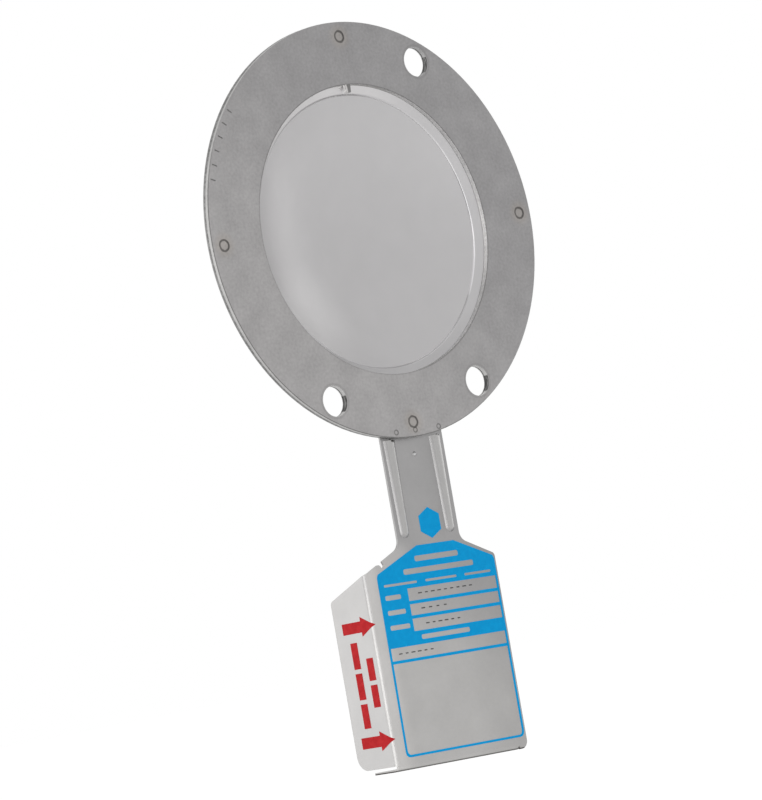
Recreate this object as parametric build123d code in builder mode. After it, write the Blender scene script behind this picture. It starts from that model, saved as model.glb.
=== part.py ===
from build123d import *
from math import cos, radians, sin, sqrt, tan
import os

# Rupture disc for clamping between two pipe flanges, millimetres, +Z up.
# The origin is the centre of the disc on the outlet face of the ring. The pipe axis is Y: the flow
# leaves along -Y, the dome bulges towards +Y, the inlet, and the tag hangs along -Z.

# Outlet ring
RING_OD = 108.0
RING_BORE = 75.3
RING_THICK = 1.5

# Locating holes through the ring and the disc, at keyed angles from +X
HOLE_DIA = 7.9
HOLE_CIRCLE_RADIUS = 48.7
HOLE_ANGLES = (60, -60, -120)

# Resistance spot welds that hold the disc to the ring
WELD_DIA = 2.9
WELD_DEPTH = 0.06
WELD_CIRCLE_RADIUS = 50.2
WELD_COUNT = 4

# Tack welds that hold the tag's tongue behind the disc, marked on the ring's face
TACK_DIA = 1.3
TACK_DEPTH = 0.04
TACK_Z = -52.3
TACK_X = (-6.3, 0.2, 8.2)

# Tooth that reaches from the bore towards the score line
TOOTH_ROOT_WIDTH = 1.5
TOOTH_TIP_WIDTH = 0.9
TOOTH_LENGTH = 2.15

# Scored dome
SHEET = 0.35
DOME_RADIUS = 70.0
DOME_HEIGHT = 11.15
SCORE_RADIUS = 35.5
SCORE_WIDTH = 0.4
SCORE_DEPTH = 0.14

# Tag: one sheet with a tongue, a neck, a plate and two flanges folded back
TAG_THICK = 0.6
BEND_RADIUS = 0.6
TONGUE_TOP = -50.4
TAG_SKEW = 1.35
NECK_WIDTH = 20.9
SHOULDER_Z = -81.3
SHOULDER_SLOPE = 24.4
SHOULDER_FILLET = 3.0
PLATE_RIGHT = 21.2
PLATE_LEFT = -23.4
PLATE_BOTTOM = -136.9
PLATE_CORNER = 2.2
EDGE_CORNER = 1.2
FLAP_DEPTH = 14.9
FLAP_BOTTOM = -135.5
FLAP_TOP_DROP = 5.5
BEND_TOP_DROP = 0.5
FLAP_CORNER = 3.8
FLANGE_DEPTH = 9.3
FLANGE_RIGHT = 18.4
FLANGE_LEFT = -23.1
NOTCH_X = -17.4
NOTCH_WIDTH = 1.1
NOTCH_DEPTH = 1.5
NOTCH_CORNER = 0.9

# Stiffening beads pressed forwards along the neck, narrower downwards, and a small pressed dimple
BEAD_X = 7.75
BEAD_TOP = -54.1
BEAD_TOP_WIDTH = 3.9
BEAD_TOP_HEIGHT = 0.9
BEAD_BOTTOM = -79.2
BEAD_BOTTOM_WIDTH = 2.9
BEAD_BOTTOM_HEIGHT = 0.8
DIMPLE_Z = -58.3
DIMPLE_RADIUS = 0.7
DIMPLE_TAPER = 50
DIMPLE_HEIGHT = 0.35

os.makedirs("parts", exist_ok=True)

FACE = Plane.XZ  # its normal is -Y, the way the flow leaves
BACK = RING_THICK + SHEET  # inlet face of the clamped stack
TOOTH_ROOT = RING_BORE / 2 + 0.5 * TOOTH_LENGTH  # sunk into the ring
TOOTH_TIP = RING_BORE / 2 - TOOTH_LENGTH + TOOTH_TIP_WIDTH / 2  # where the tip's arc starts


def at_depth(depth):
    """Plane parallel to the outlet face, the given depth behind it."""
    return FACE.offset(-depth)


def hole_places():
    """Centres of the keyed locating holes."""
    places = []
    for angle in HOLE_ANGLES:
        turn = radians(angle)
        places.append((HOLE_CIRCLE_RADIUS * cos(turn), HOLE_CIRCLE_RADIUS * sin(turn)))
    return places


# --- Outlet ring: a flat laser-cut ring with one tooth inside its bore
root_left = (-TOOTH_ROOT_WIDTH / 2, TOOTH_ROOT)
root_right = (TOOTH_ROOT_WIDTH / 2, TOOTH_ROOT)
tip_left = (-TOOTH_TIP_WIDTH / 2, TOOTH_TIP)
tip_right = (TOOTH_TIP_WIDTH / 2, TOOTH_TIP)
with BuildPart() as outlet_ring:
    with BuildSketch(FACE):
        Circle(RING_OD / 2)
        Circle(RING_BORE / 2, mode=Mode.SUBTRACT)
        with BuildLine():
            Line(root_left, tip_left)
            TangentArc(tip_left, tip_right, tangent=(0, -1))
            Line(tip_right, root_right)
            Line(root_right, root_left)
        make_face()
        with Locations(*hole_places()):
            Circle(HOLE_DIA / 2, mode=Mode.SUBTRACT)
    extrude(amount=-RING_THICK)
    with BuildSketch(FACE):
        with PolarLocations(WELD_CIRCLE_RADIUS, WELD_COUNT):
            Circle(WELD_DIA / 2)
    extrude(amount=-WELD_DEPTH, mode=Mode.SUBTRACT)
    with BuildSketch(FACE):
        with Locations(*[(x, TACK_Z) for x in TACK_X]):
            Circle(TACK_DIA / 2)
    extrude(amount=-TACK_DEPTH, mode=Mode.SUBTRACT)
outlet_ring.part.label = "outlet_ring"
export_step(outlet_ring.part, "parts/outlet_ring.step")


# --- Dome disc: one thin scored membrane with a flange as wide as the ring
apex = BACK + DOME_HEIGHT  # inlet side of the crown
centre = apex - DOME_RADIUS


def on_dome(radius, sphere):
    """Point of the dome's section at a distance from the axis, on a sphere of the given radius."""
    return (radius, centre + sqrt(sphere**2 - radius**2))


# the crown is the cap of a ball that stands behind the ring
with BuildPart() as crown:
    with Locations((0, centre, 0)):
        Sphere(DOME_RADIUS)
    split(bisect_by=at_depth(RING_THICK), keep=Keep.BOTTOM)

with BuildPart() as dome_disc:
    with BuildSketch(at_depth(RING_THICK)):
        Circle(RING_OD / 2)
    extrude(amount=-SHEET)
    add(crown.part)
    # a smaller ball leaves the sheet's thickness, and the flange flat outside the dome
    with Locations((0, centre, 0)):
        Sphere(DOME_RADIUS - SHEET, mode=Mode.SUBTRACT)
    # the score line is a fine V groove on the outlet side, just inside the bore
    with BuildSketch(Plane.XY):
        with BuildLine():
            Polyline(
                on_dome(SCORE_RADIUS - SCORE_WIDTH / 2, DOME_RADIUS - SHEET),
                on_dome(SCORE_RADIUS, DOME_RADIUS - SHEET + SCORE_DEPTH),
                on_dome(SCORE_RADIUS + SCORE_WIDTH / 2, DOME_RADIUS - SHEET),
                (SCORE_RADIUS, RING_THICK), close=True,
            )
        make_face()
    revolve(axis=Axis.Y, mode=Mode.SUBTRACT)
    with BuildSketch(at_depth(RING_THICK)):
        with Locations(*hole_places()):
            Circle(HOLE_DIA / 2)
    extrude(amount=-SHEET, mode=Mode.SUBTRACT)
dome_disc.part.label = "dome_disc"
export_step(dome_disc.part, "parts/dome_disc.step")

# --- Tag: blanked, pressed and folded from one sheet
outer_bend = BEND_RADIUS + TAG_THICK
bend_left = PLATE_LEFT + outer_bend  # where the plate starts to turn into the flap
bend_bottom = PLATE_BOTTOM + outer_bend  # where the plate starts to turn into the flange
front = BACK
rear = BACK + TAG_THICK


def shoulder_height(distance):
    """Height of the sloping shoulder at a distance from the tag's centre line."""
    return SHOULDER_Z - (distance - NECK_WIDTH / 2) * tan(radians(SHOULDER_SLOPE))


flap_top = shoulder_height(-bend_left)
bead_end = BEAD_BOTTOM + BEAD_BOTTOM_WIDTH / 2  # where the tapering run turns into the round end

# the form of one bead on the tag's front face: an arched, tapering ridge with a round lower end
with BuildPart() as bead:
    for level, width, height in (
        (BEAD_TOP, BEAD_TOP_WIDTH, BEAD_TOP_HEIGHT),
        (bead_end, BEAD_BOTTOM_WIDTH, BEAD_BOTTOM_HEIGHT),
    ):
        with BuildSketch(Plane.XY.offset(level)):
            with BuildLine():
                ThreePointArc((-width / 2, front), (0, front - height), (width / 2, front))
                Line((width / 2, front), (-width / 2, front))
            make_face()
    loft()
    with BuildSketch(Plane.XY.offset(bead_end)):
        with BuildLine():
            TangentArc((0, front - BEAD_BOTTOM_HEIGHT), (BEAD_BOTTOM_WIDTH / 2, front), tangent=(1, 0))
            Polyline((BEAD_BOTTOM_WIDTH / 2, front), (0, front), (0, front - BEAD_BOTTOM_HEIGHT))
        make_face()
    revolve(axis=Axis((0, 0, bead_end), (0, 1, 0)), revolution_arc=180)
bend_end = front + outer_bend  # where both bends have turned square to the plate

with BuildPart() as tag:
    # the flat of the tongue, neck and plate, with the corner tab under the flap
    with BuildSketch(at_depth(front)) as blank:
        with BuildLine():
            Polyline(
                (-NECK_WIDTH / 2, TONGUE_TOP),
                (NECK_WIDTH / 2, TONGUE_TOP),
                (NECK_WIDTH / 2, SHOULDER_Z),
                (PLATE_RIGHT, shoulder_height(PLATE_RIGHT)),
                (PLATE_RIGHT, PLATE_BOTTOM),
                (FLANGE_RIGHT, PLATE_BOTTOM),
                (FLANGE_RIGHT, bend_bottom),
                (FLANGE_LEFT, bend_bottom),
                (FLANGE_LEFT, FLAP_BOTTOM),
                (bend_left, FLAP_BOTTOM),
                (bend_left, flap_top),
                (-NECK_WIDTH / 2, SHOULDER_Z),
                close=True,
            )
        make_face()
        fillet(blank.vertices().filter_by_position(Axis.Y, SHOULDER_Z, SHOULDER_Z), SHOULDER_FILLET)
        fillet(blank.vertices().group_by(Axis.X)[-1].sort_by(Axis.Y)[0], PLATE_CORNER)
        fillet(blank.vertices().group_by(Axis.X)[-1].sort_by(Axis.Y)[-1], EDGE_CORNER)
        with Locations((NOTCH_X, shoulder_height(-NOTCH_X))):
            SlotOverall(2 * NOTCH_DEPTH, NOTCH_WIDTH, rotation=90 + SHOULDER_SLOPE, mode=Mode.SUBTRACT)
        notch_side = NOTCH_X - NOTCH_WIDTH / 2 * cos(radians(SHOULDER_SLOPE))
        fillet(blank.vertices().sort_by_distance((notch_side, shoulder_height(-notch_side)))[0], NOTCH_CORNER)
    extrude(amount=-TAG_THICK)

    # the bend into the flap, and the flap, whose top edge slopes on from the shoulder
    with BuildSketch(Plane.XY.offset(FLAP_BOTTOM)):
        with BuildLine():
            CenterArc((bend_left, bend_end), outer_bend, 180, 90)
            CenterArc((bend_left, bend_end), BEND_RADIUS, 180, 90)
            Line((PLATE_LEFT, bend_end), (PLATE_LEFT + TAG_THICK, bend_end))
            Line((bend_left, front), (bend_left, rear))
        make_face()
    extrude(amount=flap_top - FLAP_BOTTOM)
    with BuildSketch(Plane.YZ.offset(PLATE_LEFT)):
        with BuildLine():
            Polyline(
                (front, flap_top), (bend_end, flap_top), (bend_end, flap_top - BEND_TOP_DROP), close=True
            )
        make_face()
    extrude(amount=outer_bend, mode=Mode.SUBTRACT)
    with BuildSketch(Plane.YZ.offset(PLATE_LEFT)) as flap:
        with BuildLine():
            Polyline(
                (bend_end, FLAP_BOTTOM),
                (front + FLAP_DEPTH, FLAP_BOTTOM),
                (front + FLAP_DEPTH, flap_top - FLAP_TOP_DROP),
                (bend_end, flap_top - BEND_TOP_DROP),
                close=True,
            )
        make_face()
        fillet(flap.vertices().group_by(Axis.X)[-1].sort_by(Axis.Y)[0], FLAP_CORNER)
        fillet(flap.vertices().group_by(Axis.X)[-1].sort_by(Axis.Y)[-1], EDGE_CORNER)
    extrude(amount=TAG_THICK)

    # the bend into the bottom flange, and the flange
    with BuildSketch(Plane.YZ.offset(FLANGE_LEFT)):
        with BuildLine():
            CenterArc((bend_end, bend_bottom), outer_bend, 180, 90)
            CenterArc((bend_end, bend_bottom), BEND_RADIUS, 180, 90)
            Line((front, bend_bottom), (rear, bend_bottom))
            Polyline(
                (bend_end, PLATE_BOTTOM),
                (front + FLANGE_DEPTH, PLATE_BOTTOM),
                (front + FLANGE_DEPTH, PLATE_BOTTOM + TAG_THICK),
                (bend_end, PLATE_BOTTOM + TAG_THICK),
            )
        make_face()
    extrude(amount=FLANGE_RIGHT - FLANGE_LEFT)

    # beads: a ridge pressed out of the front, and the hollow that it leaves behind
    with Locations((-BEAD_X, 0, 0), (BEAD_X, 0, 0)):
        add(bead.part)
    with Locations((-BEAD_X, TAG_THICK, 0), (BEAD_X, TAG_THICK, 0)):
        add(bead.part, mode=Mode.SUBTRACT)

    # one small dimple pressed forwards between the beads
    with BuildSketch(at_depth(front)):
        with Locations((0, DIMPLE_Z)):
            Circle(DIMPLE_RADIUS)
    extrude(amount=DIMPLE_HEIGHT, taper=DIMPLE_TAPER)
tack_line = Axis((0, 0, TACK_Z), (0, 1, 0))
tag.part = tag.part.rotate(tack_line, TAG_SKEW)  # it was tacked on slightly out of square
tag.part.label = "tag"
export_step(tag.part, "parts/tag.step")
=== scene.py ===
from math import cos, pi, radians, sin

import bmesh
import bpy
from mathutils import Matrix, Vector


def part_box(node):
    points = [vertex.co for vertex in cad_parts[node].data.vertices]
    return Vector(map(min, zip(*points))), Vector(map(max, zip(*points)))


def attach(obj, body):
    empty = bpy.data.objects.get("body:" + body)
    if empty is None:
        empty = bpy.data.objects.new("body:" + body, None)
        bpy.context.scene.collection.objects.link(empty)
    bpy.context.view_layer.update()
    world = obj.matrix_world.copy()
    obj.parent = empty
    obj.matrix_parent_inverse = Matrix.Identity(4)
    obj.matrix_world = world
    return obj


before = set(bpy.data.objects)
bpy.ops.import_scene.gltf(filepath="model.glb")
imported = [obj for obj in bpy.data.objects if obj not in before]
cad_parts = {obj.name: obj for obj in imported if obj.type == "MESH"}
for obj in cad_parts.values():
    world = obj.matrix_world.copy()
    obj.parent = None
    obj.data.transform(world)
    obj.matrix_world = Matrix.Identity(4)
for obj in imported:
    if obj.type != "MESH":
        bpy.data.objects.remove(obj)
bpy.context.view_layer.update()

# Lengths on the part are in millimetres, and are made metres where a mesh is laid on it.
# The flow leaves along -Y, and the tag hangs along -Z.
MM = 0.001
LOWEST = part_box("tag")[0].z  # in metres, as the studio is

# The ring and the dome disc behind it, measured from the pipe's axis
RIM_RADIUS = round(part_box("outlet_ring")[1].x / MM, 2)
RING_THICK = round(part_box("outlet_ring")[1].y / MM, 2)
BORE_RADIUS = 37.65
SCORE_RADIUS = 35.5
SCORE_HALF_WIDTH = 0.2
HOLE_RADIUS = 3.95
HOLE_CIRCLE = 48.7
HOLE_ANGLES = (60, -60, -120)
WELD_CIRCLE = 50.2
WELD_RADIUS = 1.4
TACK_HEIGHT = -52.3
TACKS_ACROSS = (-6.3, 0.2, 8.2)
TACK_RADIUS = 0.6

# The tag in its own upright axes, before it is turned about its tack welds
TAG_SKEW = radians(1.35)
TAG_FRONT = 1.85
FLAP_FACE = -23.4
BEND_RADIUS = 1.2
UNDERSIDE = -136.9
DIMPLE_HEIGHT = -58.3
DIMPLE_RADIUS = 0.5
# painted shadow spots where the beads' top ends meet the ring
SHADOW_SPOTS = ((-7.3, -54.2, 0.6), (-6.5, -54.4, 0.5), (8.6, -54.1, 0.4))  # x, z and radius

INK = 0.03  # how far a print stands proud of the steel, and how far it is sunk into it

# Steel colours are the red, green and blue that the bare metal mirrors.
SHADE = (0.1, 0.098, 0.095)

WELD_BLACK = (0.05, 0.048, 0.045)
HEAT_TINT = (0.36, 0.32, 0.28)

RING_TONE = (0.318, 0.312, 0.314)
# painted light on the ring towards the lower left
RING_LIT = (0.378, 0.369, 0.368)
# painted light on the bore wall, brighter on the right, with a painted highlight about mid height
BORE_LIT_LEFT = (0.56, 0.555, 0.545)
BORE_LIT_RIGHT = (0.78, 0.775, 0.77)
BORE_HIGHLIGHT = (0.92, 0.915, 0.90)
# painted light on the tooth's sides
TOOTH_SIDES_LIT = (0.95, 0.94, 0.93)
TOOTH_FACE = (0.21, 0.206, 0.204)
RIM_DARK = (0.17, 0.168, 0.165)
RIM_LIGHT = (0.27, 0.268, 0.265)
# painted highlight along the rim's front edge
RIM_EDGE_HIGHLIGHT = (0.46, 0.455, 0.45)

# streaked painted shade on the sides of the hole walls
STREAKED_SHADE_DARK = (0.055, 0.054, 0.053)
STREAKED_SHADE_PALE = (0.24, 0.238, 0.235)
WALL_SEAM = (0.06, 0.059, 0.058)
# painted light at the top and bottom of each hole wall
LIT_HOLE_WALLS = ((0.40, 0.397, 0.395), (0.5, 0.495, 0.49), (0.5, 0.495, 0.49))  # one for each hole

DOME_TONE = (0.478, 0.470, 0.474)
# painted light on the dome's lower left
DOME_LIT = (0.57, 0.562, 0.564)
SCORE_LEFT = (0.455, 0.448, 0.452)
# painted light, painted shade and a painted highlight along the score
SCORE_RIGHT_LIT = (0.58, 0.572, 0.577)
SCORE_SHADED = (0.40, 0.395, 0.40)
SCORE_HIGHLIGHT = (0.67, 0.66, 0.67)
FLANGE_TONE = (0.485, 0.478, 0.482)
# painted light on the flange's upper left, and painted shade at its foot
FLANGE_LIT = (0.575, 0.565, 0.567)
FLANGE_SHADED = (0.435, 0.428, 0.432)
DOME_RIM = (0.25, 0.247, 0.245)

NECK_TONE = (0.345, 0.340, 0.340)
# painted light on the plate below the neck and by its left edge
PLATE_LIT_TONE = (0.438, 0.431, 0.424)
PLATE_LEFT_LIT = (0.53, 0.52, 0.51)
FLAP_TONE = (0.46, 0.453, 0.448)
# painted shade on the beads' flanks, and painted light on their crowns
BEAD_RIGHT_FLANK_SHADE = (0.26, 0.257, 0.255)
BEAD_LEFT_FLANK_SHADE = (0.36, 0.354, 0.352)
BEAD_CROWN_LIGHT = (0.41, 0.405, 0.40)
# painted highlight on the dimple
DIMPLE_HIGHLIGHT = (0.52, 0.52, 0.52)
# painted shadow spots by the beads' ends, and painted shade on the underside
SHADOW_SPOT_BLACK = (0.04, 0.038, 0.036)
UNDERSIDE_SHADE = (0.045, 0.04, 0.036)


# ---------------------------------------------------------------- shader nodes


def feed(tree, socket, value):
    """Links a socket to another one, or gives it a plain value; colours are opaque."""
    if isinstance(value, bpy.types.NodeSocket):
        tree.links.new(value, socket)
    elif socket.type == "RGBA":
        socket.default_value = (*value[:3], 1)
    else:
        socket.default_value = value


def arithmetic(tree, operation, *values, clamp=False):
    node = tree.nodes.new("ShaderNodeMath")
    node.operation = operation
    node.use_clamp = clamp
    for socket, value in zip(node.inputs, values):
        feed(tree, socket, value)
    return node.outputs[0]


def product(tree, first, *others):
    """Multiplies values; of masks, it is where all of them are."""
    result = first
    for other in others:
        result = arithmetic(tree, "MULTIPLY", result, other)
    return result


def centred(tree, pattern):
    """Shifts a pattern from 0 to 1 so that it swings either side of 0."""
    return arithmetic(tree, "SUBTRACT", pattern, 0.5)


def ramp(tree, value, start, end):
    """Goes smoothly from 0 at start to 1 at end; start may be the larger."""
    node = tree.nodes.new("ShaderNodeMapRange")
    node.interpolation_type = "SMOOTHSTEP"
    falling = start > end
    feed(tree, node.inputs["Value"], value)
    node.inputs["From Min"].default_value = min(start, end)
    node.inputs["From Max"].default_value = max(start, end)
    node.inputs["To Min"].default_value = 1.0 if falling else 0.0
    node.inputs["To Max"].default_value = 0.0 if falling else 1.0
    return node.outputs[0]


def band(tree, value, centre, half_width, soft):
    """1 within half_width of centre, fading to 0 over soft."""
    away = arithmetic(tree, "ABSOLUTE", arithmetic(tree, "SUBTRACT", value, centre))
    return ramp(tree, away, half_width + soft, half_width)


def blend(tree, factor, first, second, mode="MIX"):
    node = tree.nodes.new("ShaderNodeMix")
    node.data_type = "RGBA"
    node.blend_type = mode
    feed(tree, node.inputs["Factor"], factor)
    feed(tree, node.inputs[6], first)
    feed(tree, node.inputs[7], second)
    return node.outputs[2]


def noise(tree, vector, scale, detail=3.0):
    node = tree.nodes.new("ShaderNodeTexNoise")
    feed(tree, node.inputs["Vector"], vector)
    node.inputs["Scale"].default_value = scale
    node.inputs["Detail"].default_value = detail
    return node.outputs["Fac"]


def places(tree):
    """Object coordinates in millimetres: the vector, and its X, Y and Z."""
    coordinates = tree.nodes.new("ShaderNodeTexCoord")
    scaled = tree.nodes.new("ShaderNodeVectorMath")
    scaled.operation = "SCALE"
    tree.links.new(coordinates.outputs["Object"], scaled.inputs[0])
    scaled.inputs["Scale"].default_value = 1 / MM
    parts = tree.nodes.new("ShaderNodeSeparateXYZ")
    tree.links.new(scaled.outputs[0], parts.inputs[0])
    return scaled.outputs[0], parts.outputs[0], parts.outputs[1], parts.outputs[2]


def drawn_out(tree, place, scale):
    """Scales the place a pattern is read at: below 1 draws the pattern out that way, above 1 packs it."""
    mapping = tree.nodes.new("ShaderNodeMapping")
    mapping.inputs["Scale"].default_value = scale
    tree.links.new(place, mapping.inputs["Vector"])
    return mapping.outputs[0]


def distance(tree, x, z, centre_x=0, centre_z=0):
    """How far a place is from a centre, seen along the flow."""
    across = arithmetic(tree, "SUBTRACT", x, centre_x) if centre_x else x
    up = arithmetic(tree, "SUBTRACT", z, centre_z) if centre_z else z
    squares = arithmetic(tree, "ADD", product(tree, across, across), product(tree, up, up))
    return arithmetic(tree, "SQRT", squares)


def new_group(name, inputs, outputs):
    """A shader node group. Inputs are (name, socket type, value) and outputs are (name, socket type)."""
    group = bpy.data.node_groups.new(name, "ShaderNodeTree")
    for label, kind, value in inputs:
        group.interface.new_socket(label, in_out="INPUT", socket_type=kind).default_value = value
    for label, kind in outputs:
        group.interface.new_socket(label, in_out="OUTPUT", socket_type=kind)
    return group, group.nodes.new("NodeGroupInput").outputs, group.nodes.new("NodeGroupOutput").inputs


def use_group(tree, group, values):
    """Puts a group into a material, with its inputs set or linked by name."""
    node = tree.nodes.new("ShaderNodeGroup")
    node.node_tree = group
    for label, value in values.items():
        feed(tree, node.inputs[label], value)
    return node.outputs


def build_mill_finish():
    """Pickled, cold-rolled stainless: cloudy patches, fine speckle and a faintly grained surface."""
    group, inputs, outputs = new_group(
        "mill_finish",
        [
            ("Colour", "NodeSocketColor", (0.4, 0.4, 0.4, 1)),
            ("Cloud", "NodeSocketFloat", 0.06),
            ("Speckle", "NodeSocketFloat", 0.05),
            ("Roughness", "NodeSocketFloat", 0.5),
            ("Grain", "NodeSocketFloat", 0.1),
        ],
        [("Colour", "NodeSocketColor"), ("Roughness", "NodeSocketFloat"), ("Normal", "NodeSocketVector")],
    )
    place = places(group)[0]
    cloud = noise(group, place, scale=0.14, detail=4)
    speckle = noise(group, place, scale=1.3, detail=3)
    grain = noise(group, place, scale=6.0, detail=2)
    cloudy = product(group, centred(group, cloud), inputs["Cloud"])
    speckled = product(group, centred(group, speckle), inputs["Speckle"])
    level = arithmetic(group, "ADD", arithmetic(group, "ADD", cloudy, speckled), 1.0)
    tone = group.nodes.new("ShaderNodeCombineColor")
    for socket in tone.inputs[:3]:
        group.links.new(level, socket)
    toned = blend(group, 1.0, inputs["Colour"], tone.outputs[0], mode="MULTIPLY")
    group.links.new(toned, outputs["Colour"])
    roughness_swing, grain_depth, speckle_share = 0.12, 0.02 * MM, 0.6
    uneven = product(group, centred(group, speckle), roughness_swing)
    roughness = arithmetic(group, "ADD", inputs["Roughness"], uneven, clamp=True)
    group.links.new(roughness, outputs["Roughness"])
    bump = group.nodes.new("ShaderNodeBump")
    bump.inputs["Distance"].default_value = grain_depth
    group.links.new(inputs["Grain"], bump.inputs["Strength"])
    height = arithmetic(group, "ADD", grain, product(group, speckle, speckle_share))
    group.links.new(height, bump.inputs["Height"])
    group.links.new(bump.outputs[0], outputs["Normal"])
    return group


MILL_FINISH = build_mill_finish()


def new_material(name, metallic):
    material = bpy.data.materials.new(name)
    material.use_nodes = True
    shader = material.node_tree.nodes["Principled BSDF"]
    shader.inputs["Metallic"].default_value = metallic
    return material, material.node_tree, shader


def finish_steel(tree, shader, colour, cloud, speckle, roughness, grain):
    """Runs a steel colour through the mill finish and into the shader."""
    values = {"Colour": colour, "Cloud": cloud, "Speckle": speckle, "Roughness": roughness, "Grain": grain}
    steel = use_group(tree, MILL_FINISH, values)
    tree.links.new(steel["Colour"], shader.inputs["Base Color"])
    tree.links.new(steel["Roughness"], shader.inputs["Roughness"])
    tree.links.new(steel["Normal"], shader.inputs["Normal"])


def tint(tree, mask, colour, laid, strength=1.0):
    """Lays a colour over another where the mask is, as strongly as asked."""
    if strength != 1.0:
        mask = product(tree, mask, strength)
    return blend(tree, mask, colour, laid)


def behind_face(tree, y):
    """The mask of everything behind the ring's outlet face."""
    return ramp(tree, y, start=0.02, end=0.06)


def outer_edge(tree, radius):
    """The mask of the outside rim that the ring and the dome disc share."""
    return ramp(tree, radius, start=RIM_RADIUS - 0.1, end=RIM_RADIUS - 0.02)


# ---------------------------------------------------------------- steel of the ring and the dome disc


def hole_walls(tree, place, x, y, z, colour):
    """Colours the hole walls, with painted light at the top and bottom of each wall, streaked painted shade
    between and a dark seam, and paints shade on their lips.
    """
    streaks = noise(tree, drawn_out(tree, place, (0.5, 3.0, 0.5)), scale=1.0, detail=3)
    # streaked painted shade for the sides of the walls
    streaked_shade = blend(tree, ramp(tree, streaks, start=0.35, end=0.7), STREAKED_SHADE_DARK, STREAKED_SHADE_PALE)
    seam = band(tree, y, RING_THICK - 0.08, half_width=0.1, soft=0.1)
    for angle, lit_wall in zip(HOLE_ANGLES, LIT_HOLE_WALLS):
        hole_x = HOLE_CIRCLE * cos(radians(angle))
        hole_z = HOLE_CIRCLE * sin(radians(angle))
        from_hole = distance(tree, x, z, hole_x, hole_z)
        # painted shade on each hole's lip
        lip = band(tree, from_hole, HOLE_RADIUS + 0.4, half_width=0.1, soft=0.3)
        colour = tint(tree, lip, colour, SHADE, strength=0.16)
        # painted light at the top and bottom of the wall, streaked painted shade between
        up = arithmetic(tree, "SUBTRACT", z, hole_z)
        shaded_zone = band(tree, up, centre=-0.9, half_width=1.8, soft=0.4)
        wall_colour = blend(tree, seam, blend(tree, shaded_zone, lit_wall, streaked_shade), WALL_SEAM)
        wall = ramp(tree, from_hole, start=HOLE_RADIUS + 0.08, end=HOLE_RADIUS + 0.03)
        colour = tint(tree, product(tree, wall, behind_face(tree, y)), colour, wall_colour)
    return colour


def weld_marks(tree, place, x, z, colour):
    """Colours the four spot welds, each a dark ring in a straw heat tint, and the three small tacks."""
    wide = arithmetic(tree, "ABSOLUTE", x)
    high = arithmetic(tree, "ABSOLUTE", z)
    along = arithmetic(tree, "SUBTRACT", arithmetic(tree, "MAXIMUM", wide, high), WELD_CIRCLE)
    from_weld = distance(tree, along, arithmetic(tree, "MINIMUM", wide, high))
    wobble_width, heat_reach = 0.5, 3 * WELD_RADIUS
    wobble = product(tree, centred(tree, noise(tree, place, scale=0.9)), wobble_width)
    from_weld = arithmetic(tree, "ADD", from_weld, wobble)
    colour = tint(tree, ramp(tree, from_weld, heat_reach, WELD_RADIUS), colour, HEAT_TINT, strength=0.35)
    weld_ring = band(tree, from_weld, WELD_RADIUS, half_width=0.16, soft=0.24)
    colour = tint(tree, weld_ring, colour, WELD_BLACK, strength=0.68)
    for tack_x in TACKS_ACROSS:
        from_tack = distance(tree, x, z, tack_x, TACK_HEIGHT)
        tack_ring = band(tree, from_tack, TACK_RADIUS, half_width=0.08, soft=0.2)
        colour = tint(tree, tack_ring, colour, WELD_BLACK, strength=0.5)
    return colour


def bore_walls(tree, x, y, z, radius, slant, colour):
    """Colours the turned bore and its tooth: painted light on the bore wall, brighter on the right and
    brightest at mid height, and on the tooth's sides; and painted shade from the burr on the face.
    """
    # painted light on the bore wall, brighter on the right and brightest about mid height
    bore_colour = blend(tree, ramp(tree, x, start=10, end=20), BORE_LIT_LEFT, BORE_LIT_RIGHT)
    bore_colour = blend(tree, band(tree, z, centre=-6, half_width=4, soft=16), bore_colour, BORE_HIGHLIGHT)
    seam = ramp(tree, y, start=RING_THICK - 0.25, end=RING_THICK - 0.1)
    bore_colour = tint(tree, seam, bore_colour, SHADE, strength=0.45)
    wide = arithmetic(tree, "ABSOLUTE", x)
    # painted light on the tooth's sides
    tooth = product(tree, ramp(tree, wide, start=1.5, end=1.0), ramp(tree, z, start=34, end=35))
    bore_colour = blend(tree, tooth, bore_colour, TOOTH_SIDES_LIT)
    inside_colour = blend(tree, behind_face(tree, y), TOOTH_FACE, bore_colour)
    inside = ramp(tree, radius, start=BORE_RADIUS + 0.06, end=BORE_RADIUS + 0.01)
    colour = blend(tree, inside, colour, inside_colour)
    # painted shade from the burr on the face, least at the lower left
    least, rise = 0.08, 0.28
    strength = arithmetic(tree, "MULTIPLY_ADD", ramp(tree, slant, start=-50, end=-15), rise, least)
    burr = band(tree, radius, BORE_RADIUS + 0.12, half_width=0.06, soft=0.15)
    on_face = ramp(tree, y, start=0.06, end=0.02)
    return blend(tree, product(tree, burr, strength, on_face), colour, SHADE)


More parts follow.
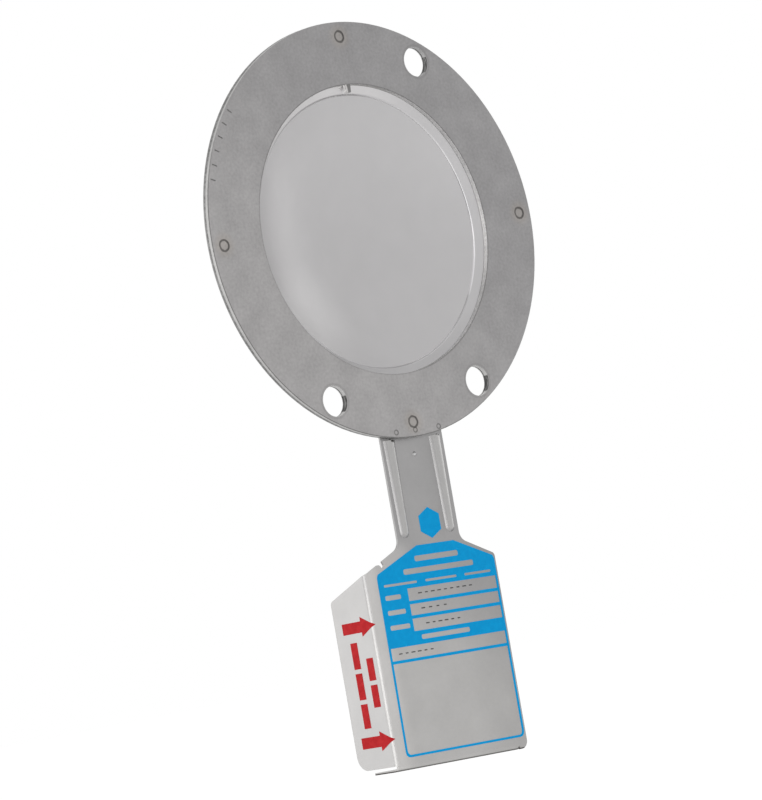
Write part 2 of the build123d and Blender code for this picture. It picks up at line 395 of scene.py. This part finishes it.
def sheared_rim(tree, place, y, radius, slant, colour):
    """Colours the ring's rim, dull behind a painted highlight along its front edge, and paints shade on the
    corner at the lower left.
    """
    streaks = noise(tree, drawn_out(tree, place, (1, 0.25, 1)), scale=1.6, detail=2)
    rim_colour = blend(tree, ramp(tree, streaks, start=0.35, end=0.65), RIM_DARK, RIM_LIGHT)
    # the painted highlight on the front edge is deeper at the lower left than at the upper right, and fades
    # out behind
    least_deep, most_deep, fade = 0.3, 0.8, 0.3
    lower_left = ramp(tree, slant, start=30, end=-50)
    edge_end = arithmetic(tree, "MULTIPLY_ADD", lower_left, most_deep - least_deep, least_deep)
    past_edge = ramp(tree, arithmetic(tree, "SUBTRACT", y, edge_end), start=0, end=fade)
    rim_colour = blend(tree, arithmetic(tree, "SUBTRACT", 1.0, past_edge), rim_colour, RIM_EDGE_HIGHLIGHT)
    colour = blend(tree, outer_edge(tree, radius), colour, rim_colour)
    # painted shade on the rim's front corner at the lower left
    corner = product(
        tree,
        ramp(tree, radius, start=RIM_RADIUS - 0.3, end=RIM_RADIUS - 0.1),
        ramp(tree, slant, start=-5, end=-45),
        ramp(tree, y, start=0.16, end=0.08),
    )
    return tint(tree, corner, colour, SHADE, strength=0.7)


def ring_steel():
    """Dull plate, with painted light that makes it brighter towards the lower left."""
    material, tree, shader = new_material("ring_steel", metallic=1.0)
    place, x, y, z = places(tree)
    radius = distance(tree, x, z)
    slant = arithmetic(tree, "ADD", x, z)
    # painted light, brighter towards the lower left
    colour = blend(tree, ramp(tree, slant, start=45, end=-60), RING_TONE, RING_LIT)
    colour = weld_marks(tree, place, x, z, colour)
    colour = bore_walls(tree, x, y, z, radius, slant, colour)
    colour = sheared_rim(tree, place, y, radius, slant, colour)
    colour = hole_walls(tree, place, x, y, z, colour)
    finish_steel(tree, shader, colour, cloud=0.34, speckle=0.42, roughness=0.55, grain=0.35)
    return material


def score_line(tree, x, z, radius, colour):
    """Colours the score with painted light, brighter at the right, with painted shade in two stretches and a
    painted highlight between them.
    """
    # painted light at the right, painted shade in two stretches and a painted highlight between them
    right = ramp(tree, x, start=18, end=28)
    dull_middle = band(tree, z, centre=6, half_width=3, soft=8)
    low_share = 0.6
    dull_low = product(tree, band(tree, z, centre=-24, half_width=3, soft=3), low_share)
    dull = product(tree, right, arithmetic(tree, "MAXIMUM", dull_middle, dull_low))
    bright = product(tree, right, band(tree, z, centre=-12.5, half_width=4, soft=3.5))
    score_colour = blend(tree, ramp(tree, x, start=2, end=10), SCORE_LEFT, SCORE_RIGHT_LIT)
    score_colour = blend(tree, dull, score_colour, SCORE_SHADED)
    score_colour = blend(tree, bright, score_colour, SCORE_HIGHLIGHT)
    score = band(tree, radius, SCORE_RADIUS, half_width=SCORE_HALF_WIDTH, soft=0.1)
    return blend(tree, score, colour, score_colour)


def dome_steel():
    """Bright foil, with painted light on the dome's lower left and the flange's upper left, and painted shade
    at the flange's foot.
    """
    material, tree, shader = new_material("dome_steel", metallic=1.0)
    place, x, y, z = places(tree)
    radius = distance(tree, x, z)
    from_lower_left = distance(tree, x, z, centre_x=-24, centre_z=-22)
    # painted light on the dome's lower left
    colour = blend(tree, ramp(tree, from_lower_left, start=20, end=4), DOME_TONE, DOME_LIT)
    colour = score_line(tree, x, z, radius, colour)
    # painted light on the flange's upper left, and painted shade at its foot
    upper_left = product(tree, ramp(tree, z, start=8, end=32), ramp(tree, x, start=28, end=6))
    flange_colour = blend(tree, upper_left, FLANGE_TONE, FLANGE_LIT)
    flange_colour = blend(tree, ramp(tree, z, start=-18, end=-34), flange_colour, FLANGE_SHADED)
    score_edge = SCORE_RADIUS + SCORE_HALF_WIDTH
    flange = ramp(tree, radius, start=score_edge, end=score_edge + 0.3)
    colour = blend(tree, flange, colour, flange_colour)
    colour = blend(tree, outer_edge(tree, radius), colour, DOME_RIM)
    colour = hole_walls(tree, place, x, y, z, colour)
    finish_steel(tree, shader, colour, cloud=0.07, speckle=0.03, roughness=0.4, grain=0.06)
    return material


# ---------------------------------------------------------------- steel of the tag


def upright(tree, x, z):
    """X and Z of the tag in its own upright axes, in millimetres."""
    down = arithmetic(tree, "SUBTRACT", z, TACK_HEIGHT)
    tag_x = arithmetic(
        tree, "SUBTRACT", product(tree, x, cos(TAG_SKEW)), product(tree, down, sin(TAG_SKEW)),
    )
    tag_down = arithmetic(
        tree, "ADD", product(tree, x, sin(TAG_SKEW)), product(tree, down, cos(TAG_SKEW)),
    )
    return tag_x, arithmetic(tree, "ADD", tag_down, TACK_HEIGHT)


def plate_and_flap(tree, x, y, z, face):
    """The sheet's colour: painted light below the neck and by the left edge, painted shade towards the right,
    and a flap a little paler than the plate.
    """
    # painted light, paler below the neck
    lean = 0.45
    slant = arithmetic(tree, "ADD", z, product(tree, x, lean))
    colour = blend(tree, ramp(tree, slant, start=-82, end=-118), NECK_TONE, PLATE_LIT_TONE)
    # painted shade towards the right
    colour = tint(tree, ramp(tree, x, start=0, end=24), colour, SHADE, strength=0.16)
    # painted light by the left edge and at the left shoulder
    shoulder_height = band(tree, z, centre=-83.5, half_width=2.0, soft=4.0)
    shoulder_share = 0.5
    shoulder = product(tree, shoulder_height, ramp(tree, x, start=-5, end=-13), shoulder_share)
    left_edge = arithmetic(tree, "MAXIMUM", ramp(tree, x, start=-15.5, end=-22), shoulder)
    left_edge = product(tree, left_edge, face, ramp(tree, z, start=-78, end=-83))
    colour = blend(tree, left_edge, colour, PLATE_LEFT_LIT)
    flap = product(
        tree,
        ramp(tree, y, start=TAG_FRONT + 0.9, end=TAG_FRONT + 1.3),
        ramp(tree, x, start=FLAP_FACE + 0.3, end=FLAP_FACE + 0.2),
    )
    return blend(tree, flap, colour, FLAP_TONE)


def pressed_beads(tree, x, y, colour):
    """Paints shade and light on the beads by how far they stand out: painted shade on the flanks, darkest on
    the right flank, and painted light on the crown.
    """
    # painted shade on the flanks, darkest on the right flank
    left_flank_of_left_bead = ramp(tree, x, start=-7.4, end=-8.0)
    left_flank_of_right_bead = band(tree, x, centre=5.0, half_width=2.3, soft=0.5)
    left_flank = arithmetic(tree, "MAXIMUM", left_flank_of_left_bead, left_flank_of_right_bead)
    flank_colour = blend(tree, left_flank, BEAD_RIGHT_FLANK_SHADE, BEAD_LEFT_FLANK_SHADE)
    flanks = ramp(tree, y, start=TAG_FRONT - 0.06, end=TAG_FRONT - 0.14)
    colour = tint(tree, flanks, colour, flank_colour, strength=0.7)
    # painted light on the crown
    crown = ramp(tree, y, start=TAG_FRONT - 0.5, end=TAG_FRONT - 0.72)
    return blend(tree, crown, colour, BEAD_CROWN_LIGHT)


def tag_steel():
    """Bright rolled sheet, with a painted highlight on the dimple, painted shadow spots by the tack welds
    where the beads meet the ring, and painted shade on the underside.
    """
    material, tree, shader = new_material("tag_steel", metallic=1.0)
    part_x, y, part_z = places(tree)[1:]
    x, z = upright(tree, part_x, part_z)
    face = ramp(tree, y, start=TAG_FRONT + 0.3, end=TAG_FRONT + 0.1)
    colour = plate_and_flap(tree, x, y, z, face)
    colour = pressed_beads(tree, x, y, colour)
    # painted highlight on the dimple
    from_dimple = distance(tree, x, z, 0, DIMPLE_HEIGHT)
    dimple = product(tree, ramp(tree, from_dimple, DIMPLE_RADIUS, 0.6 * DIMPLE_RADIUS), face)
    colour = blend(tree, dimple, colour, DIMPLE_HIGHLIGHT)
    # painted shadow spots where the beads' top ends meet the ring
    for spot_x, spot_z, size in SHADOW_SPOTS:
        from_shadow_spot = distance(tree, x, z, spot_x, spot_z)
        shadow_spot = product(tree, ramp(tree, from_shadow_spot, size, 0.5 * size), face)
        colour = blend(tree, shadow_spot, colour, SHADOW_SPOT_BLACK)
    # painted shade on the underside
    underside = ramp(tree, z, start=UNDERSIDE + 0.5, end=UNDERSIDE + 0.15)
    colour = blend(tree, underside, colour, UNDERSIDE_SHADE)
    finish_steel(tree, shader, colour, cloud=0.16, speckle=0.1, roughness=0.42, grain=0.1)
    return material


# ---------------------------------------------------------------- inks, and the finishes laid on


def ink(name, colour, thin_colour, roughness):
    """Screen-printed ink, a little thinner in places."""
    material, tree, shader = new_material(name, metallic=0.0)
    shader.inputs["Specular IOR Level"].default_value = 0.1
    place = places(tree)[0]
    thin = ramp(tree, noise(tree, place, scale=0.7, detail=4), start=0.35, end=0.75)
    tree.links.new(blend(tree, thin, colour, thin_colour), shader.inputs["Base Color"])
    roughness_swing = 0.1
    uneven = product(tree, noise(tree, place, scale=3.0), roughness_swing)
    tree.links.new(arithmetic(tree, "ADD", uneven, roughness), shader.inputs["Roughness"])
    return material


def dress(node, material):
    """Gives a solid its finish."""
    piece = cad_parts[node]
    piece.data.materials.clear()
    piece.data.materials.append(material)


dress("outlet_ring", ring_steel())
dress("dome_disc", dome_steel())
dress("tag", tag_steel())

BLUE_INK = ink("blue_ink", (0.001, 0.41, 0.88), (0.002, 0.45, 0.93), roughness=0.45)
RED_INK = ink("red_ink", (0.50, 0.014, 0.018), (0.58, 0.024, 0.028), roughness=0.45)
ETCH = ink("etched_steel", (0.10, 0.10, 0.10), (0.16, 0.16, 0.16), roughness=0.6)
STAMP = ink("stamped_steel", (0.17, 0.168, 0.165), (0.22, 0.218, 0.215), roughness=0.6)


# ---------------------------------------------------------------- places on the part


def tag_place(x, y, z):
    """Turns a place of the upright tag to where the tag is tacked on, in metres."""
    down = z - TACK_HEIGHT
    return Vector((
        (x * cos(TAG_SKEW) + down * sin(TAG_SKEW)) * MM,
        y * MM,
        (TACK_HEIGHT - x * sin(TAG_SKEW) + down * cos(TAG_SKEW)) * MM,
    ))


def on_plate(x, z, proud):
    """A place on the front of the plate, given in the tag's upright axes."""
    return tag_place(x, TAG_FRONT - proud, z)


def on_flap(run, z, proud):
    """A place on the flap; run is measured round the bend and back from where the plate's front ends."""
    turn = BEND_RADIUS * pi / 2
    reach = BEND_RADIUS + proud
    if run < turn:
        angle = run / BEND_RADIUS
        x = FLAP_FACE + BEND_RADIUS - reach * sin(angle)
        y = TAG_FRONT + BEND_RADIUS - reach * cos(angle)
    else:
        x = FLAP_FACE - proud
        y = TAG_FRONT + BEND_RADIUS + run - turn
    return tag_place(x, y, z)


def on_ring(x, z, proud):
    """A place on the outlet face of the ring, in metres."""
    return Vector((x * MM, -proud * MM, z * MM))


# ---------------------------------------------------------------- making thin pieces


def finish_mesh(mesh):
    """Closes the seams and turns every face outwards."""
    shape = bmesh.new()
    shape.from_mesh(mesh)
    bmesh.ops.remove_doubles(shape, verts=shape.verts, dist=0.002 * MM)
    bmesh.ops.recalc_face_normals(shape, faces=shape.faces)
    shape.to_mesh(mesh)
    shape.free()


def add_piece(name, mesh, material):
    mesh.name = name
    mesh.materials.clear()
    mesh.materials.append(material)
    piece = bpy.data.objects.new(name, mesh)
    bpy.context.scene.collection.objects.link(piece)
    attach(piece, "root")


def evaluated_mesh(name, data, modify=None):
    """The plain mesh of a curve, or of a mesh with the modifier that is added to it."""
    holder = bpy.data.objects.new(name, data)
    bpy.context.scene.collection.objects.link(holder)
    if modify:
        modify(holder)
    mesh = bpy.data.meshes.new_from_object(holder.evaluated_get(bpy.context.evaluated_depsgraph_get()))
    bpy.data.objects.remove(holder)
    return mesh


def print_flat(name, outlines, place, material):
    """Fills flat outlines, those inside another as openings, and lays them on the tag as a thin film."""
    curve = bpy.data.curves.new(name, "CURVE")
    curve.dimensions = "2D"
    curve.fill_mode = "BOTH"
    curve.extrude = INK
    for outline in outlines:
        spline = curve.splines.new("POLY")
        spline.points.add(len(outline) - 1)
        for point, (x, z) in zip(spline.points, outline):
            point.co = (x, z, 0, 1)
        spline.use_cyclic_u = True
    mesh = evaluated_mesh(name, curve)
    for vertex in mesh.vertices:
        vertex.co = place(vertex.co.x, vertex.co.y, vertex.co.z)
    finish_mesh(mesh)
    add_piece(name, mesh, material)


def lay_mesh(name, shape, material):
    """Makes a finished piece of a bmesh, and frees it."""
    mesh = bpy.data.meshes.new(name)
    shape.to_mesh(mesh)
    shape.free()
    finish_mesh(mesh)
    add_piece(name, mesh, material)


# ---------------------------------------------------------------- rows of bars


def place_node(tree, name, inputs):
    """Adds a node of a geometry tree and feeds its inputs by position."""
    node = tree.nodes.new(name)
    for index, value in inputs.items():
        feed(tree, node.inputs[index], value)
    return node


def build_dashes():
    """Geometry Nodes: bars laid along a line at an even pitch, some a little shorter than others."""
    tree = bpy.data.node_groups.new("dashes_along", "GeometryNodeTree")
    sockets = tree.interface
    sockets.new_socket("Line", in_out="INPUT", socket_type="NodeSocketGeometry")
    sockets.new_socket("Count", in_out="INPUT", socket_type="NodeSocketInt").default_value = 5
    sockets.new_socket("Size", in_out="INPUT", socket_type="NodeSocketVector").default_value = (1.0, 0.3, 0.06)
    sockets.new_socket("Spread", in_out="INPUT", socket_type="NodeSocketFloat").default_value = 0.3
    sockets.new_socket("Seed", in_out="INPUT", socket_type="NodeSocketInt").default_value = 7
    sockets.new_socket("Material", in_out="INPUT", socket_type="NodeSocketMaterial")
    sockets.new_socket("Bars", in_out="OUTPUT", socket_type="NodeSocketGeometry")
    given = tree.nodes.new("NodeGroupInput").outputs
    curve = place_node(tree, "GeometryNodeMeshToCurve", {0: given["Line"]})
    stations = place_node(tree, "GeometryNodeResampleCurve", {0: curve.outputs[0], 2: given["Count"]})
    tangent = place_node(tree, "GeometryNodeInputTangent", {})
    turn = place_node(tree, "FunctionNodeAlignRotationToVector", {2: tangent.outputs[0]})
    turn.axis = "X"
    bar = place_node(tree, "GeometryNodeMeshCube", {0: given["Size"]})
    least = arithmetic(tree, "SUBTRACT", 1.0, given["Spread"])
    length = place_node(tree, "FunctionNodeRandomValue", {2: least, 3: 1.0, 8: given["Seed"]})
    scale = place_node(tree, "ShaderNodeCombineXYZ", {0: length.outputs[1], 1: 1.0, 2: 1.0})
    bars = place_node(
        tree, "GeometryNodeInstanceOnPoints",
        {0: stations.outputs[0], 2: bar.outputs[0], 5: turn.outputs[0], 6: scale.outputs[0]},
    )
    real = place_node(tree, "GeometryNodeRealizeInstances", {0: bars.outputs[0]})
    dressed = place_node(tree, "GeometryNodeSetMaterial", {0: real.outputs[0], 2: given["Material"]})
    tree.links.new(dressed.outputs[0], tree.nodes.new("NodeGroupOutput").inputs["Bars"])
    return tree


DASHES = build_dashes()


def dashes(points, count, size, spread, seed, material):
    """The plain mesh of a row of bars along flat points."""
    line = bpy.data.meshes.new("row")
    line.from_pydata([(x, z, 0) for x, z in points], [(k, k + 1) for k in range(len(points) - 1)], [])
    values = {"Count": count, "Size": size, "Spread": spread, "Seed": seed, "Material": material}

    def lay_bars(holder):
        modifier = holder.modifiers.new("bars", "NODES")
        modifier.node_group = DASHES
        for item in DASHES.interface.items_tree:
            if item.name in values:
                modifier[item.identifier] = values[item.name]

    return evaluated_mesh("row", line, lay_bars)


def lay_rows(name, rows, place, material):
    """Joins rows of bars into one piece and lays them on the part."""
    shape = bmesh.new()
    for mesh in rows:
        shape.from_mesh(mesh)
    for vertex in shape.verts:
        vertex.co = place(vertex.co.x, vertex.co.y, vertex.co.z)
    lay_mesh(name, shape, material)


# ---------------------------------------------------------------- the blue print on the plate

BLUE_EDGE = (
    (-4.6, -81.4), (-19.0, -87.35), (-19.45, -88.2), (-19.8, -132.4), (-19.65, -133.2), (-19.1, -133.7),
    (-18.4, -133.85), (19.2, -133.85), (20.0, -133.65), (20.55, -133.1), (20.75, -132.3), (20.8, -87.6),
    (20.4, -86.6), (8.0, -81.4),
)
BLANK_PANEL = (
    (-18.95, -110.25), (-19.15, -132.2), (-18.95, -132.85), (-18.3, -133.25),
    (19.2, -133.25), (19.8, -132.95), (20.05, -132.2), (20.1, -110.25),
)
WIDE_FIELD = ((-18.9, -106.3), (-18.94, -109.5), (20.1, -109.5), (20.1, -106.3))
FIELD_LEFT, FIELD_RIGHT = -10.1, 20.1
FIELD_HEIGHTS = ((-91.9, -95.1), (-95.95, -98.8), (-99.65, -102.8))
# Each bar is left, right, bottom, top and corner radius.
HEADER_BARS = (
    (-6.0, 8.8, -85.4, -84.0, 0.5),
    (-10.4, 13.4, -88.4, -87.0, 0.5),
    (-17.6, -6.5, -90.8, -90.2, 0.25),
    (-3.6, 7.0, -90.8, -90.2, 0.25),
    (9.8, 18.8, -90.8, -90.2, 0.25),
    (-17.8, -12.6, -94.2, -93.0, 0.4),
    (-17.8, -11.8, -98.0, -96.8, 0.4),
    (-17.8, -11.2, -101.8, -100.6, 0.4),
    (-8.0, 8.4, -105.1, -103.9, 0.4),
)
HEXAGON_X, HEXAGON_Z, HEXAGON_RADIUS = 1.2, -76.1, 4.0


def rounded(left, right, bottom, top, corner):
    """The outline of a rectangle with rounded corners."""
    outline = []
    steps = 4
    for x, z, start in (
        (right - corner, top - corner, 0),
        (left + corner, top - corner, 90),
        (left + corner, bottom + corner, 180),
        (right - corner, bottom + corner, 270),
    ):
        for step in range(steps + 1):
            angle = radians(start + step * 90 / steps)
            outline.append((x + corner * cos(angle), z + corner * sin(angle)))
    return outline


def blue_outlines():
    """The frame and header, with the fields and bars left open, and the hexagon on the neck."""
    fields = [
        [(FIELD_LEFT, top), (FIELD_LEFT, bottom), (FIELD_RIGHT, bottom), (FIELD_RIGHT, top)]
        for top, bottom in FIELD_HEIGHTS
    ]
    angles = [radians(30 + 60 * k) for k in range(6)]
    hexagon = [(HEXAGON_X + HEXAGON_RADIUS * cos(a), HEXAGON_Z + HEXAGON_RADIUS * sin(a)) for a in angles]
    return [BLUE_EDGE, BLANK_PANEL, WIDE_FIELD, hexagon] + fields + [rounded(*bar) for bar in HEADER_BARS]


print_flat("blue_print", blue_outlines(), on_plate, BLUE_INK)


# ---------------------------------------------------------------- the red print on the flap

ARROW_HEIGHTS = (-99.5, -128.6)
# Along the flap from its bend: the arrow's tip, barbs and tail; and half its height at each
ARROW_TIP, ARROW_BARB, ARROW_TAIL = 0.25, 5.3, 12.65
TIP_HALF, BARB_HALF, SHAFT_HALF = 0.02, 2.52, 1.42
HEAD_STEPS = 16  # enough to follow the bend
# Each bar is near, far, top and bottom.
FLAP_BARS = (
    (8.0, 10.6, -103.2, -109.9),
    (8.0, 10.6, -111.0, -117.7),
    (8.0, 10.6, -118.8, -125.0),
    (2.9, 5.5, -107.6, -113.3),
    (2.9, 5.5, -114.4, -120.1),
)


def red_strip(shape, stations, centre):
    """Adds one red shape to a bmesh: stations are (run, half height) along the flap and round the bend."""
    rings = []
    for run, half in stations:
        rings.append([
            shape.verts.new(on_flap(run, centre + side * half, proud))
            for side, proud in ((-1, INK), (1, INK), (1, -INK), (-1, -INK))
        ])
    for first, second in zip(rings, rings[1:]):
        for k in range(4):
            shape.faces.new((first[k], first[(k + 1) % 4], second[(k + 1) % 4], second[k]))
    shape.faces.new(rings[0])
    shape.faces.new(rings[-1])


def arrow_stations():
    """From the tip, round the bend, to the barbs and along the shaft."""
    head_run, head_half = ARROW_BARB - ARROW_TIP, BARB_HALF - TIP_HALF
    head = [
        (ARROW_TIP + head_run * k / HEAD_STEPS, TIP_HALF + head_half * k / HEAD_STEPS)
        for k in range(HEAD_STEPS + 1)
    ]
    return head + [(ARROW_BARB + 0.01, SHAFT_HALF), (ARROW_TAIL, SHAFT_HALF)]


def print_red():
    """Two flow arrows and the plain bars between them."""
    shape = bmesh.new()
    for centre in ARROW_HEIGHTS:
        red_strip(shape, arrow_stations(), centre)
    for near, far, top, bottom in FLAP_BARS:
        half = (top - bottom) / 2
        red_strip(shape, [(near, half), (far, half)], (top + bottom) / 2)
    lay_mesh("red_print", shape, RED_INK)


print_red()


# ---------------------------------------------------------------- etched entries and stamped ticks

# Each entry is start, end, height and number of dashes.
ENTRIES = ((-6.1, 11.2, -93.4, 9), (-5.9, 1.6, -97.3, 4), (-5.2, 5.4, -101.2, 6), (-15.9, -5.3, -107.9, 6))
ENTRY_BAR = (1.35, 0.3, 2 * INK)
lay_rows(
    "etched_entries",
    [
        dashes([(start, z), (end, z)], count, ENTRY_BAR, spread=0.35, seed=3 + count, material=ETCH)
        for start, end, z, count in ENTRIES
    ],
    on_plate, ETCH,
)

TICK_CIRCLE = 52.5
TICK_COUNT = 6
TICK_BAR = (0.3, 1.5, 2 * INK)
TICK_START, TICK_SPAN, TICK_STEPS = 140.5, 21.1, 20
TICK_ANGLES = [radians(TICK_START + TICK_SPAN * k / TICK_STEPS) for k in range(TICK_STEPS + 1)]
TICK_LINE = [(TICK_CIRCLE * cos(angle), TICK_CIRCLE * sin(angle)) for angle in TICK_ANGLES]
lay_rows(
    "ring_ticks",
    [dashes(TICK_LINE, TICK_COUNT, TICK_BAR, spread=0.2, seed=11, material=STAMP)],
    on_ring, STAMP,
)


# ---------------------------------------------------------------- studio, in metres and watts

CAMERA_PLACE = Vector((-0.73062, -0.8295, -0.10103))
CAMERA_AIM = Vector((-0.00932, 0, -0.04355))
CAMERA_LENS = 195.64
CAMERA_ROLL = radians(-10.889)
SOFT_LEVEL = 0.55
FLOOR_DROP = 0.12
FLOOR_HALF = 12.0
FLOOR_GLOW = 0.56
# Each lamp is place, aim, size and power.
LAMPS = {
    "left_side": ((-1.5, -0.3, 0.0), (0, 0, -0.05), 1.2, 6.5),
    "left_near": ((-0.45, -0.3, -0.2), (0, 0, -0.1), 0.4, 0.6),
    "left_back": ((-1.0, 1.1, 0.1), (0, 0, -0.05), 1.2, 2.8),
    "right_side": ((1.5, 0.1, -0.05), (0, 0, -0.03), 1.2, 4.0),
}


def turned_to(place, aim):
    """The matrix of a camera or lamp at a place, turned to its aim."""
    turn = (Vector(aim) - Vector(place)).to_track_quat("-Z", "Y").to_matrix().to_4x4()
    return Matrix.Translation(place) @ turn


def add_camera():
    """Low at the left front with a long lens, rolled so that the part leans."""
    camera = bpy.data.objects.new("camera", bpy.data.cameras.new("camera"))
    bpy.context.scene.collection.objects.link(camera)
    camera.data.lens = CAMERA_LENS
    camera.data.sensor_width = 36
    camera.data.clip_end = 50
    camera.matrix_world = turned_to(CAMERA_PLACE, CAMERA_AIM) @ Matrix.Rotation(CAMERA_ROLL, 4, "Z")
    bpy.context.scene.camera = camera


def add_lamp(name, place, aim, size, power):
    """A square soft box."""
    lamp = bpy.data.lights.new(name, "AREA")
    lamp.shape = "SQUARE"
    lamp.size = size
    lamp.energy = power
    holder = bpy.data.objects.new(name, lamp)
    holder.matrix_world = turned_to(place, aim)
    holder.visible_camera = False
    bpy.context.scene.collection.objects.link(holder)


def seen_rays(tree):
    """1 for rays from the camera, and for those that metal or glass sends on."""
    rays = tree.nodes.new("ShaderNodeLightPath").outputs
    seen = arithmetic(tree, "MAXIMUM", rays["Is Camera Ray"], rays["Is Transmission Ray"])
    return arithmetic(tree, "MAXIMUM", seen, rays["Is Glossy Ray"])


def add_world():
    """White where it is seen or mirrored, and a softer level on matt surfaces."""
    world = bpy.data.worlds.new("studio")
    world.use_nodes = True
    tree = world.node_tree
    background = tree.nodes["Background"]
    background.inputs["Color"].default_value = (1, 1, 1, 1)
    added = product(tree, seen_rays(tree), 1.0 - SOFT_LEVEL)
    tree.links.new(arithmetic(tree, "ADD", added, SOFT_LEVEL), background.inputs["Strength"])
    bpy.context.scene.world = world


def add_floor():
    """A white floor that keeps the part's shadow and is otherwise as white as the backdrop."""
    mesh = bpy.data.meshes.new("floor")
    level = LOWEST - FLOOR_DROP
    corners = [(x * FLOOR_HALF, y * FLOOR_HALF, level) for x, y in ((-1, -1), (1, -1), (1, 1), (-1, 1))]
    mesh.from_pydata(corners, [], [(0, 1, 2, 3)])
    floor = bpy.data.objects.new("floor", mesh)
    bpy.context.scene.collection.objects.link(floor)
    material, tree, shader = new_material("white_floor", metallic=0.0)
    shader.inputs["Base Color"].default_value = (0.85, 0.85, 0.85, 1)
    shader.inputs["Roughness"].default_value = 0.9
    shader.inputs["Specular IOR Level"].default_value = 0.0
    shader.inputs["Emission Color"].default_value = (1, 1, 1, 1)
    tree.links.new(product(tree, seen_rays(tree), FLOOR_GLOW), shader.inputs["Emission Strength"])
    mesh.materials.append(material)


add_camera()
add_world()
add_floor()
for lamp_name, (place, aim, size, power) in LAMPS.items():
    add_lamp(lamp_name, place, aim, size, power)
bpy.context.scene.view_settings.view_transform = "Standard"
